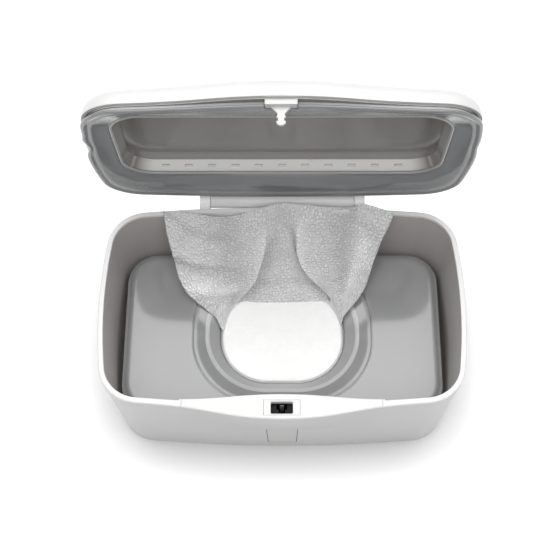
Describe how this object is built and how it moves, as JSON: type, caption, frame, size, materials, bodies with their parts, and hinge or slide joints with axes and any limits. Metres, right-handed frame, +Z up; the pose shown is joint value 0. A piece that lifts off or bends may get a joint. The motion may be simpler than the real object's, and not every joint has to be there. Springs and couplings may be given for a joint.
{
  "type": "wipes dispenser",
  "caption": "Open tub for folded wipes with a weighted plate over the stack, a sprung hinged lid with a recess and a gasket, and a front push button that frees the lid.",
  "frame": {"origin": "centre of the flat base, at the height that it rests on", "axes": "+X to the right as seen from the front, -Y towards the front with the button, +Z up"},
  "size_m": [0.2462, 0.1768, 0.2518],
  "materials": {
    "white_plastic": "satin moulded",
    "cover_plastic": "satin moulded",
    "bezel_plastic": "satin moulded",
    "latch_plastic": "matte moulded",
    "liner_plastic": "satin moulded",
    "gasket_plastic": "glossy moulded",
    "plate_plastic": "glossy moulded",
    "steel": "plain",
    "wipes": "embossed nonwoven, damp",
    "foot_rubber": "matte"
  },
  "bodies": {
    "tub": {"tub": "white_plastic", "latch_cover": "cover_plastic", "latch_bezel": "bezel_plastic", "chamber_panel": "liner_plastic", "panel_screws": "steel", "button_pin": "steel", "button_spring": "steel", "hinge_pin": "steel", "lid_spring_left": "steel", "lid_spring_right": "steel", "feet": "foot_rubber", "wipes_stack": "wipes", "pulled_wipe": "wipes"},
    "lid": {"lid_shell": "white_plastic", "lid_liner": "liner_plastic", "lid_gasket": "gasket_plastic", "striker": "white_plastic"},
    "button": {"release_button": "white_plastic", "catch_lever": "latch_plastic"},
    "plate": {"plate_cover": "plate_plastic", "plate_base": "plate_plastic", "plate_weight": "steel"}
  },
  "joints": [
    {"name": "lid_hinge", "type": "hinge", "parent": "tub", "child": "lid", "pos_m": [0, 0.0788, 0.093], "axis": [1, 0, 0], "range_deg": [0, 80], "stiffness_Nm_per_rad": 0.1, "springref_deg": -57.3, "deforming": ["pulled_wipe"]},
    {"name": "button_press", "type": "hinge", "parent": "tub", "child": "button", "pos_m": [0, -0.0674, 0.05], "axis": [1, 0, 0], "range_deg": [0, 3.5], "stiffness_Nm_per_rad": 0.05, "springref_deg": -17.19},
    {"name": "plate_sink", "type": "slide", "parent": "tub", "child": "plate", "axis": [0, 0, 1], "range_m": [-0.033, 0], "deforming": ["wipes_stack"]}
  ]
}
